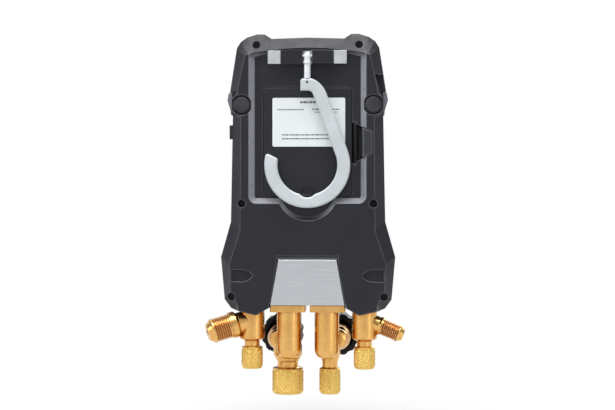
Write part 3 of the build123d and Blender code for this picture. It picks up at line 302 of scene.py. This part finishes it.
def glass(name, tint, roughness, alpha):
    """Clear moulded window with faint surface marks."""
    s = Shader(name)
    s.set(
        Base_Color=tint, Alpha=alpha, IOR=1.49, Coat_Weight=0.5, Coat_Roughness=0.03,
        Roughness=s.spread(s.noise(300, 4.0), 0.4, 0.8, roughness, roughness + 0.08),
        Normal=s.bump(s.noise(60, 2.0), 0.01, 0.2),
    )
    return s.material


def panel(name, colour, dark, step):
    """Plain surface with a fine even pattern, for the display and the circuit board."""
    s = Shader(name)
    place = s.add("ShaderNodeSeparateXYZ", Vector=s.place)
    waves = [s.math("SINE", s.math("MULTIPLY", place.outputs[axis], 2 * pi / (step * MM))) for axis in "XZ"]
    weave = s.math("MULTIPLY", *waves)
    s.set(
        Base_Color=s.mix(s.spread(weave, -1, 1, 0, 1), colour, dark),
        Roughness=s.spread(s.noise(80, 3.0), 0.3, 0.7, 0.3, 0.42),
        Normal=s.bump(weave, 0.01, 0.2),
    )
    return s.material


finishes = {
    "casing": moulded("casing_plastic", rgb(38, 39, 45), 0.42, edge=0.8, edge_wear_and_highlight=0.9, recess=(38.1, -99, -2)),
    "casing_dark": moulded("front_plastic", rgb(32, 33, 37), 0.5, edge=0.5, gaps=False),
    "hook_metal": coated("hook_coat", rgb(196, 203, 207), 0.42),
    "steel": metal("turned_steel", rgb(200, 202, 204), 0.3),
    "black_steel": metal("black_steel", rgb(58, 58, 60), 0.42, gap=0.9),
    "strap_steel": metal("strap_steel", rgb(208, 211, 216), 0.42, scratch=0.01, lines=(60, 400, 400)),
    "rubber": rubber("black_rubber", rgb(42, 43, 46)),
    "label": film("label_film", rgb(214, 220, 223)),
    "battery": film("cell_sleeve", rgb(120, 124, 130)),
    "aluminium": metal("milled_aluminium", rgb(196, 198, 202), 0.36, scratch=0.01),
    "brushed_plate": brushed("brushed_plate", rgb(212, 215, 220)),
    "brass": metal(
        "turned_brass", rgb(230, 180, 108), 0.22, tarnish=0.4, stain=BRASS_STAIN, groove=BRASS_GROOVE_SHADE,
    ),
    "cap_brass": metal(
        "knurled_brass", rgb(228, 192, 104), 0.26, edge=0.12, tarnish=0.4,
        stain=BRASS_STAIN, groove=BRASS_GROOVE_SHADE,
    ),
    "knob_black": moulded("black_knob", rgb(30, 31, 34), 0.5, edge_wear_and_highlight=0.3),
    "knob_blue": moulded("blue_knob", rgb(28, 84, 168), 0.42, edge_wear_and_highlight=0.2),
    "knob_red": moulded("red_knob", rgb(182, 34, 30), 0.42, edge_wear_and_highlight=0.2),
    "lens": glass("display_window", rgb(60, 62, 66), 0.06, 0.32),
    "lcd": panel("display_cell", rgb(138, 148, 138), rgb(128, 139, 129), 0.5),
    "board": panel("solder_mask", rgb(22, 92, 54), rgb(18, 80, 46), 3.2),
    "keys": moulded("key_plastic", rgb(78, 81, 86), 0.46, edge_wear_and_highlight=0.3),
    "sight_glass": glass("sight_window", rgb(222, 230, 230), 0.04, 0.35),
}
looks = {part["node"]: finishes[part["material_slot"]] for part in frame["record"]["subparts"]}
looks["hook_pin"] = finishes["black_steel"]
# The latch's strip by the door is painted near black: a painted shadow in its finger pocket.
looks["door_latch"] = moulded("latch_plastic", rgb(54, 56, 61), 0.42, edge=0.8, edge_wear_and_highlight=0.9, pocket_shadow=(29.0, 34.6))
looks["battery_door"] = moulded("door_plastic", rgb(38, 39, 45), 0.42, edge=0.4, edge_wear_and_highlight=0.12)
# The flaps get a paler copy of the rubber: painted light on facets that face the lamps.
looks["probe_cover_left"] = looks["probe_cover_right"] = rubber("lit_flap_rubber", rgb(92, 95, 100))
looks["swivel_stud"] = coated("satin_nickel", rgb(222, 227, 232), 0.3)
for node, finish in looks.items():
    for slot in nodes[node].material_slots:
        slot.material = finish


# ---- mesh helpers -------------------------------------------------------------------------------
def mesh_object(name, verts, faces, body, slot=None, finish=None, smooth=False):
    """A piece of the scene. It rides on a body, except for a cutter or the floor, which have none."""
    mesh = bpy.data.meshes.new(name)
    mesh.from_pydata([Vector(v) * MM for v in verts], [], faces)
    mesh.validate()
    shape = bmesh.new()
    shape.from_mesh(mesh)
    bmesh.ops.recalc_face_normals(shape, faces=shape.faces)
    shape.to_mesh(mesh)
    shape.free()
    if smooth:
        mesh.shade_smooth()
    piece = bpy.data.objects.new(name, mesh)
    bpy.context.scene.collection.objects.link(piece)
    piece.data.materials.append(finish or finishes[slot])
    if body:
        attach(piece, body)
    return piece


def basis(direction):
    """Two unit vectors at right angles to a direction."""
    line = Vector(direction).normalized()
    side = line.orthogonal().normalized()
    return line, side, line.cross(side)


def prism(outline, near, far):
    """Vertices and faces of a polygon of (x, z) points between two depths."""
    count = len(outline)
    verts = [(x, near, z) for x, z in outline] + [(x, far, z) for x, z in outline]
    faces = [tuple(range(count)), tuple(range(2 * count - 1, count - 1, -1))]
    for i in range(count):
        j = (i + 1) % count
        faces.append((i, j, j + count, i + count))
    return verts, faces


def joined(parts):
    """One list of vertices and faces from several."""
    verts, faces = [], []
    for part_verts, part_faces in parts:
        start = len(verts)
        verts += part_verts
        faces += [tuple(start + i for i in face) for face in part_faces]
    return verts, faces


def cut(node, cutter):
    """Take the cutter's shape out of a CAD node's look, and keep its flat and round faces crisp."""
    cutter.hide_render = True
    cutter.hide_viewport = True
    piece = nodes[node]
    weld = piece.modifiers.new("weld", "WELD")
    weld.merge_threshold = 0.001 * MM
    carve = piece.modifiers.new("carve", "BOOLEAN")
    carve.operation = "DIFFERENCE"
    carve.solver = "EXACT"
    carve.object = cutter
    crease = piece.modifiers.new("crease", "EDGE_SPLIT")
    crease.split_angle = radians(28)
    shade = piece.modifiers.new("shade", "WEIGHTED_NORMAL")
    shade.keep_sharp = True


# ---- threads on the brass ports -----------------------------------------------------------------
SIDE_X, SIDE_Y, STUB_Z = 36.8, 13.0, -171.0
OUTLET_X, OUTLET_Y = 13.9, 22.0
SMALL_R, SMALL_PITCH = 11.1125 / 2, 1.27
LARGE_R, LARGE_PITCH = 15.875 / 2, 25.4 / 18
LARGE_STUB_LEAN = (16.0, 17.0)  # degrees below level, and towards the back of the tool
SMALL_STUB_LEAN = (21.8, 3.0)
SIDE_THREAD = (189.6, 197.4)  # distances below the hinge between which a cap's thread runs
CENTRE_THREAD = (204.6, 215.2)
THREAD_DEPTH = 0.60  # shares of the pitch
THREAD_HALF = 0.46
THREAD_ROOT_HALF = 0.08
THREAD_OUT = 0.08  # how far the groove's cutter stands outside the thread, in millimetres
STEPS_A_TURN = 40
RUN_OUT = 14  # steps in which the groove deepens at either end
RUN_OUT_LEAST = 0.04


def helix_groove(origin, direction, start, end, radius, pitch):
    """Closed V-shaped worm that cuts a right-handed thread between two distances."""
    line, side, up = basis(direction)
    steps = int((end - start) / pitch * STEPS_A_TURN)
    deep = THREAD_DEPTH * pitch
    verts = []
    for step in range(steps + 1):
        angle = 2 * pi * step / STEPS_A_TURN
        along = start + pitch * step / STEPS_A_TURN
        fade = min(1.0, step / RUN_OUT, (steps - step) / RUN_OUT) * 0.96 + RUN_OUT_LEAST
        spoke = side * cos(angle) + up * sin(angle)
        half = THREAD_HALF * pitch * fade
        root = THREAD_ROOT_HALF * pitch * fade
        crest_r, root_r = radius + THREAD_OUT, radius - deep * fade
        for r, offset in ((crest_r, -half), (root_r, -root), (root_r, root), (crest_r, half)):
            verts.append(Vector(origin) + line * (along + offset) + spoke * r)
    faces = [(0, 1, 2, 3)]
    for step in range(steps):
        a, b = 4 * step, 4 * step + 4
        for i in range(4):
            j = (i + 1) % 4
            faces.append((a + i, b + i, b + j, a + j))
    last = 4 * steps
    faces.append((last + 3, last + 2, last + 1, last))
    return verts, faces


def stub_direction(side, lean):
    """Direction of a side stub, from the degrees that it leans down and back."""
    d, w = (radians(angle) for angle in lean)
    return (side * cos(d) * cos(w), -sin(w), -sin(d) * cos(w))


down = (0, 0, -1)
grooves = {
    "left_side_port": [
        ((-SIDE_X, SIDE_Y, STUB_Z), stub_direction(-1, LARGE_STUB_LEAN), 15.8, 27.0, LARGE_R, LARGE_PITCH),
        ((-SIDE_X, SIDE_Y, 0), down, *SIDE_THREAD, SMALL_R, SMALL_PITCH),
    ],
    "right_side_port": [
        ((SIDE_X, SIDE_Y, STUB_Z), stub_direction(1, SMALL_STUB_LEAN), 12.5, 23.6, SMALL_R, SMALL_PITCH),
        ((SIDE_X, SIDE_Y, 0), down, *SIDE_THREAD, SMALL_R, SMALL_PITCH),
    ],
    "left_centre_port": [
        ((-OUTLET_X, OUTLET_Y, 0), down, *CENTRE_THREAD, LARGE_R, LARGE_PITCH),
    ],
    "right_centre_port": [
        ((OUTLET_X, OUTLET_Y, 0), down, *CENTRE_THREAD, SMALL_R, SMALL_PITCH),
    ],
}
for node, worms in grooves.items():
    verts, faces = joined(helix_groove(*worm) for worm in worms)
    cutter = mesh_object(
        node + "_thread_cutter", verts, faces, None, finish=finishes["brass"], smooth=True,
    )
    cut(node, cutter)

# ---- socket recesses of the casing screws -------------------------------------------------------
SCREWS = [(side * x, z) for side in (-1, 1) for x, z in ((33.3, 7.7), (42.6, -95.2), (49.4, -155.4))]
HEAD_FACE = 7.0
SOCKET_R = 1.12
LOBE = 0.26
SOCKET_STEPS = 48
SOCKET_DEPTH = 1.3


def six_lobes(x, z):
    """Cutter of a six-lobed socket in the head of the screw at (x, z)."""
    lobes = []
    for step in range(SOCKET_STEPS):
        angle = 2 * pi * step / SOCKET_STEPS
        r = SOCKET_R + LOBE * cos(6 * angle)
        lobes.append((x + r * cos(angle), z + r * sin(angle)))
    return prism(lobes, HEAD_FACE - 0.5, HEAD_FACE + SOCKET_DEPTH)


verts, faces = joined(six_lobes(x, z) for x, z in SCREWS)
cutter = mesh_object("screw_socket_cutter", verts, faces, None, finish=finishes["black_steel"])
cut("case_screws", cutter)

# ---- knurled caps -------------------------------------------------------------------------------
CAP_LIP, CAP_FLOOR, RUNNING = 0.8, 2.4, 0.06
KNURL = 1.8  # size of a diamond
KNURL_DEPTH = 0.42
KNURL_STEPS = 6  # mesh steps across a diamond
SEAL_ROOM = 1.7
SEAL_T = 1.5


def knurled_cap(name, x, y, thread_r, outer_r, top, thread_l):
    """Cap turned from bar: a plain rim, a diamond-knurled barrel and a chamfered foot."""
    seal_top = top - thread_l - SEAL_ROOM
    floor_top = seal_top - SEAL_T
    low = floor_top - CAP_FLOOR
    top = top - 0.5
    across = round(2 * pi * outer_r / KNURL)
    columns = across * KNURL_STEPS
    knurl_top, knurl_low = top - 2.0, low + 1.5
    rows = round((knurl_top - knurl_low) / KNURL) * KNURL_STEPS

    profile = [(thread_r + RUNNING, floor_top + SEAL_T), (thread_r + RUNNING, top),
               (outer_r - CAP_LIP, top), (outer_r - 0.25, top - 0.55), (outer_r - 0.25, top - 1.2),
               (outer_r - 0.5, top - 1.45), (outer_r - 0.5, top - 1.75)]
    before = len(profile)
    for row in range(rows + 1):
        profile.append((outer_r, knurl_top + (knurl_low - knurl_top) * row / rows))
    profile += [(outer_r - 0.55, knurl_low - 0.1), (outer_r - 0.55, low + 1.05),
                (outer_r - 0.75, low + 0.55), (outer_r - 1.3, low), (outer_r * 0.45, low),
                (outer_r * 0.42, low + 0.25), (0.02, low + 0.25)]
    inside = [(0.02, floor_top), (thread_r - 0.3, floor_top), (thread_r - 0.3, floor_top + SEAL_T)]
    profile = inside + profile
    first = len(inside) + before
    verts = []
    for index, (r, z) in enumerate(profile):
        row = index - first
        knurled = 0 <= row <= rows
        for column in range(columns):
            radius = r
            if knurled:
                u, v = column / KNURL_STEPS, row / KNURL_STEPS
                ridge = min(abs((u + v) % 1 - 0.5), abs((u - v) % 1 - 0.5)) * 2
                edge = min(1.0, row / 2, (rows - row) / 2)
                radius = r - KNURL_DEPTH * min(1.0, 1.5 * (1 - ridge)) - 0.16 * (1 - edge)
            angle = 2 * pi * column / columns
            verts.append((x + radius * cos(angle), y + radius * sin(angle), z))
    faces = []
    for ring in range(len(profile) - 1):
        for column in range(columns):
            after = (column + 1) % columns
            a, b = ring * columns, (ring + 1) * columns
            faces.append((a + column, a + after, b + after, b + column))
    last = (len(profile) - 1) * columns
    faces.append(tuple(range(columns)))
    faces.append(tuple(range(last, last + columns)))
    cap = mesh_object(name + "_knurled", verts, faces, name, "cap_brass")
    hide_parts(name)


SMALL_CAP_R, LARGE_CAP_R = 7.1, 10.4
SIDE_CAP_TOP, CENTRE_CAP_TOP = -188.2, -203.0
SIDE_THREAD_L, CENTRE_THREAD_L = 9.2, 12.0
side_cap = (SMALL_R, SMALL_CAP_R, SIDE_CAP_TOP, SIDE_THREAD_L)
knurled_cap("left_side_cap", -SIDE_X, SIDE_Y, *side_cap)
knurled_cap("right_side_cap", SIDE_X, SIDE_Y, *side_cap)
centre_cap = (CENTRE_CAP_TOP, CENTRE_THREAD_L)
knurled_cap("left_centre_cap", -OUTLET_X, OUTLET_Y, LARGE_R, LARGE_CAP_R, *centre_cap)
knurled_cap("right_centre_cap", OUTLET_X, OUTLET_Y, SMALL_R, SMALL_CAP_R, *centre_cap)

# ---- label, with blank dashes in place of print --------------------------------------------------
LABEL_FACE = 3.1
INK_SUNK = 0.02
INK_PROUD = 0.05
DASH_GAP = 0.45


def bar(x_from, x_to, z_from, z_to, near, far):
    return prism([(x_from, z_from), (x_to, z_from), (x_to, z_to), (x_from, z_to)], near, far)


ink = film("label_ink", rgb(92, 96, 102))
DASHES = (1.5, 2.3, 0.9, 1.8, 2.7, 1.2)
ROWS = [  # (x from, x to, z, height)
    (-4.7, 5.8, -29.6, 1.3), (-19.6, -2.6, -34.3, 0.7), (3.0, 9.6, -34.2, 0.8), (16.2, 21.0, -34.2, 0.7),
    (4.6, 8.0, -36.0, 0.6), (17.6, 19.0, -36.0, 0.6), (-16.6, 14.4, -50.7, 0.8), (-16.6, 14.6, -53.2, 0.8),
]


def dashes(x_from, x_to, z, height):
    """A row of blank dashes where a line of print would be."""
    parts, x, index = [], x_from, 0
    while x < x_to:
        end = min(x + DASHES[index % len(DASHES)], x_to)
        depths = (LABEL_FACE - INK_SUNK, LABEL_FACE + INK_PROUD)
        parts.append(bar(x, end, z - height / 2, z + height / 2, *depths))
        x = end + DASH_GAP
        index += 1
    return parts


verts, faces = joined(piece for row in ROWS for piece in dashes(*row))
mesh_object("label_dashes", verts, faces, "manifold", "label", ink)

# ---- sloping lip between the lower panel and the brushed plate ----------------------------------
LIP_HALF = 19.6
LIP_TOP, LIP_LOW = -129.15, -131.25
LIP_BACK, LIP_FACE = 0.78, 0.08
lip_verts = [(side * LIP_HALF, y, z) for side in (-1, 1)
             for y, z in ((LIP_BACK, LIP_TOP), (LIP_BACK, LIP_LOW), (LIP_FACE, LIP_LOW))]
lip_faces = [(0, 1, 2), (5, 4, 3), (0, 3, 4, 1), (1, 4, 5, 2), (2, 5, 3, 0)]
# The lip gets a paler copy of the casing plastic: painted light on a face that catches the top lamp.
lit_lip_finish = moulded("lit_lip_plastic", rgb(66, 68, 74), 0.42, gaps=False)
mesh_object("plate_lip", lip_verts, lip_faces, "manifold", "casing", lit_lip_finish)

# ---- symbols of the keys and the knobs ----------------------------------------------------------
KEY_FACE = 44.5
KEY_X = 23.0
KEY_HIGH, KEY_LOW = -86.0, -101.0
key_depths = (KEY_FACE - 0.3, KEY_FACE + 0.05)
symbol = film("key_symbol", rgb(226, 228, 228))
arrows = {  # (x, z, degrees that the arrow is turned)
    "key_left": (-KEY_X, KEY_HIGH, 180), "key_up": (0.0, KEY_HIGH, 90), "key_right": (KEY_X, KEY_HIGH, 0),
    "key_down": (0.0, KEY_LOW, 270),
}


def round_line(x, z, radius, width, start, end, near, far, steps=28):
    """Flat arc between two angles in degrees."""
    outer, inner = [], []
    for step in range(steps + 1):
        angle = radians(start + (end - start) * step / steps)
        outer.append((x + radius * cos(angle), z + radius * sin(angle)))
        inner.append((x + (radius - width) * cos(angle), z + (radius - width) * sin(angle)))
    parts = []
    for step in range(steps):
        parts.append(prism([outer[step], outer[step + 1], inner[step + 1], inner[step]], near, far))
    return parts


for key, (x, z, turn) in arrows.items():
    tip = []
    for corner in (0, 125, 235):
        angle = radians(corner + turn)
        reach = 2.2 if corner == 0 else 2.0
        tip.append((x + reach * cos(angle), z + reach * sin(angle)))
    verts, faces = prism(tip, *key_depths)
    mesh_object(key + "_symbol", verts, faces, key, "keys", symbol)
verts, faces = joined(
    round_line(KEY_X, KEY_LOW, 2.1, 0.55, 125, 415, *key_depths)
    + [bar(22.72, 23.28, KEY_LOW, -98.5, *key_depths)]
)
mesh_object("key_power_symbol", verts, faces, "key_power", "keys", symbol)

KNOB_FACE = 70.5
MARK_BACK = KNOB_FACE - 0.4
MARK_FACE = KNOB_FACE + 0.08
POINTER_FACE = KNOB_FACE + 0.12
MARK_LINE = 0.7
MARK_START, MARK_END = 100, 380  # degrees
for valve, x, z, radius, slot in (
    ("low_valve", 37.0, -142.0, 11.0, "knob_blue"), ("high_valve", -37.0, -142.0, 11.0, "knob_red"),
    ("vacuum_valve", -19.4, -184.0, 9.0, "knob_black"),
    ("refrigerant_valve", 19.4, -184.0, 9.0, "knob_black"),
):
    parts = round_line(x, z, radius, MARK_LINE, MARK_START, MARK_END, MARK_BACK, MARK_FACE, 40)
    end = radians(MARK_START)
    head_r = radius - MARK_LINE / 2
    hx, hz = x + head_r * cos(end), z + head_r * sin(end)
    parts.append(prism([(hx, hz - 1.6), (hx, hz + 1.6), (hx + 2.6, hz)], MARK_BACK, MARK_FACE))
    reach = radius * 0.55
    parts.append(bar(x - 0.5, x + 0.5, z - reach, z + reach, MARK_BACK, POINTER_FACE))
    verts, faces = joined(parts)
    mesh_object(valve + "_mark", verts, faces, valve, slot, symbol)

# ---- camera, light and surroundings -------------------------------------------------------------
DISTANCE = 850
SIDEWAYS = 40  # the camera stands a little to the right
CENTRE = (0.13, 0, -96.1)
PIXEL = 0.645  # of the object, at the depth of its back
PICTURE_W = 615
sight = (DISTANCE ** 2 + SIDEWAYS ** 2) ** 0.5
camera_data = bpy.data.cameras.new("camera")
camera_data.sensor_width = 36
camera_data.lens = camera_data.sensor_width * sight / (PICTURE_W * PIXEL)
camera_data.clip_end = 50
camera = bpy.data.objects.new("camera", camera_data)
camera.location = (Vector(CENTRE) + Vector((SIDEWAYS, -DISTANCE, 0))) * MM
camera.rotation_euler = (radians(90), 0, atan2(SIDEWAYS, DISTANCE))
bpy.context.scene.collection.objects.link(camera)
bpy.context.scene.camera = camera


def softbox(name, place, aim, width, height, power):
    """White area lamp. Places and sizes are in metres."""
    lamp = bpy.data.lights.new(name, "AREA")
    lamp.shape = "RECTANGLE"
    lamp.size, lamp.size_y = width, height
    lamp.energy = power
    box = bpy.data.objects.new(name, lamp)
    box.location = place
    box.rotation_euler = (Vector(aim) - Vector(place)).to_track_quat("-Z", "Y").to_euler()
    bpy.context.scene.collection.objects.link(box)


middle = (0, 0.02, -0.1)
softbox("top_box", (0, -0.35, 0.95), (0, 0.02, -0.05), 1.0, 0.5, 13.5)
softbox("left_box", (-0.95, -0.45, 0.55), middle, 0.28, 1.3, 5.4)
softbox("right_box", (0.80, -0.70, 0.0), middle, 0.28, 1.3, 1.8)
softbox("front_box", (-0.35, -1.3, 0.5), middle, 0.7, 0.7, 0.8)
softbox("back_box", (0.3, 1.2, 0.5), middle, 0.9, 0.9, 8)

floor_shader = Shader("floor_paint")
path = floor_shader.add("ShaderNodeLightPath")
seen = floor_shader.math("MAXIMUM", path.outputs["Is Camera Ray"], path.outputs["Is Glossy Ray"])
seen = floor_shader.math("MAXIMUM", seen, path.outputs["Is Transmission Ray"])
floor_shader.set(Base_Color=(0.8, 0.8, 0.8, 1), Roughness=0.9, Specular_IOR_Level=0.1)
glow = floor_shader.add("ShaderNodeEmission", Color=(1, 1, 1, 1), Strength=1.0)
away = floor_shader.add("ShaderNodeVectorMath", {"operation": "LENGTH"}, _0=floor_shader.place)
share = floor_shader.spread(away.outputs["Value"], 0.25, 0.7, 0.8, 1.0)
blend = floor_shader.add(
    "ShaderNodeMixShader", _0=floor_shader.math("MULTIPLY", seen, share),
    _1=floor_shader.surface.outputs[0], _2=glow.outputs[0],
)
floor_shader.tree.links.new(
    blend.outputs[0], floor_shader.tree.nodes["Material Output"].inputs["Surface"]
)
FLOOR_Z = -240
FLOOR_HALF = 4000
stand = mesh_object(
    "floor", [(x * FLOOR_HALF, y * FLOOR_HALF, FLOOR_Z) for x, y in ((-1, -1), (1, -1), (1, 1), (-1, 1))],
    [(0, 1, 2, 3)], None, finish=floor_shader.material,
)

# The world fills in softly. What looks at it sees white, and a reflection sees a white ceiling, and
# grey screens between the white ones all round the room, the front and the back among the grey.
FILL = 0.38
GREY = 0.25
SCREENS = 4
world = bpy.data.worlds.new("studio")
bpy.context.scene.world = world
world.use_nodes = True
tree = world.node_tree
tree.nodes.clear()


def world_node(kind, settings=None, **inputs):
    return add_node(tree, kind, settings, **inputs)


path = world_node("ShaderNodeLightPath")
watched = world_node("ShaderNodeMath", {"operation": "MAXIMUM"}, _0=path.outputs["Is Camera Ray"],
                   _1=path.outputs["Is Transmission Ray"]).outputs[0]
towards = world_node("ShaderNodeSeparateXYZ", Vector=world_node("ShaderNodeTexCoord").outputs["Generated"])
heading = world_node("ShaderNodeMath", {"operation": "ARCTAN2"}, _0=towards.outputs["X"],
                     _1=towards.outputs["Y"]).outputs[0]
turns = world_node("ShaderNodeMath", {"operation": "MULTIPLY"}, _0=heading, _1=SCREENS).outputs[0]
swing = world_node("ShaderNodeMath", {"operation": "COSINE"}, _0=turns).outputs[0]
round_about = world_node("ShaderNodeMapRange", None, Value=swing, From_Min=-1.0, From_Max=1.0, To_Min=1.0,
                         To_Max=GREY).outputs["Result"]
overhead = world_node("ShaderNodeMapRange", {"interpolation_type": "SMOOTHSTEP"},
                      Value=towards.outputs["Z"], From_Min=0.35, From_Max=0.85).outputs["Result"]
room = world_node("ShaderNodeMath", {"operation": "MAXIMUM"}, _0=round_about, _1=overhead).outputs[0]
fill = world_node("ShaderNodeBackground", Color=(1, 1, 1, 1), Strength=FILL)
mirrored = world_node("ShaderNodeBackground", Color=(1, 1, 1, 1), Strength=room)
white = world_node("ShaderNodeBackground", Color=(1, 1, 1, 1), Strength=1.0)
glossy = world_node("ShaderNodeMixShader", _0=path.outputs["Is Glossy Ray"], _1=fill.outputs[0],
                    _2=mirrored.outputs[0])
chosen = world_node("ShaderNodeMixShader", _0=watched, _1=glossy.outputs[0], _2=white.outputs[0])
world_node("ShaderNodeOutputWorld", Surface=chosen.outputs[0])

bpy.context.scene.view_settings.view_transform = "Standard"
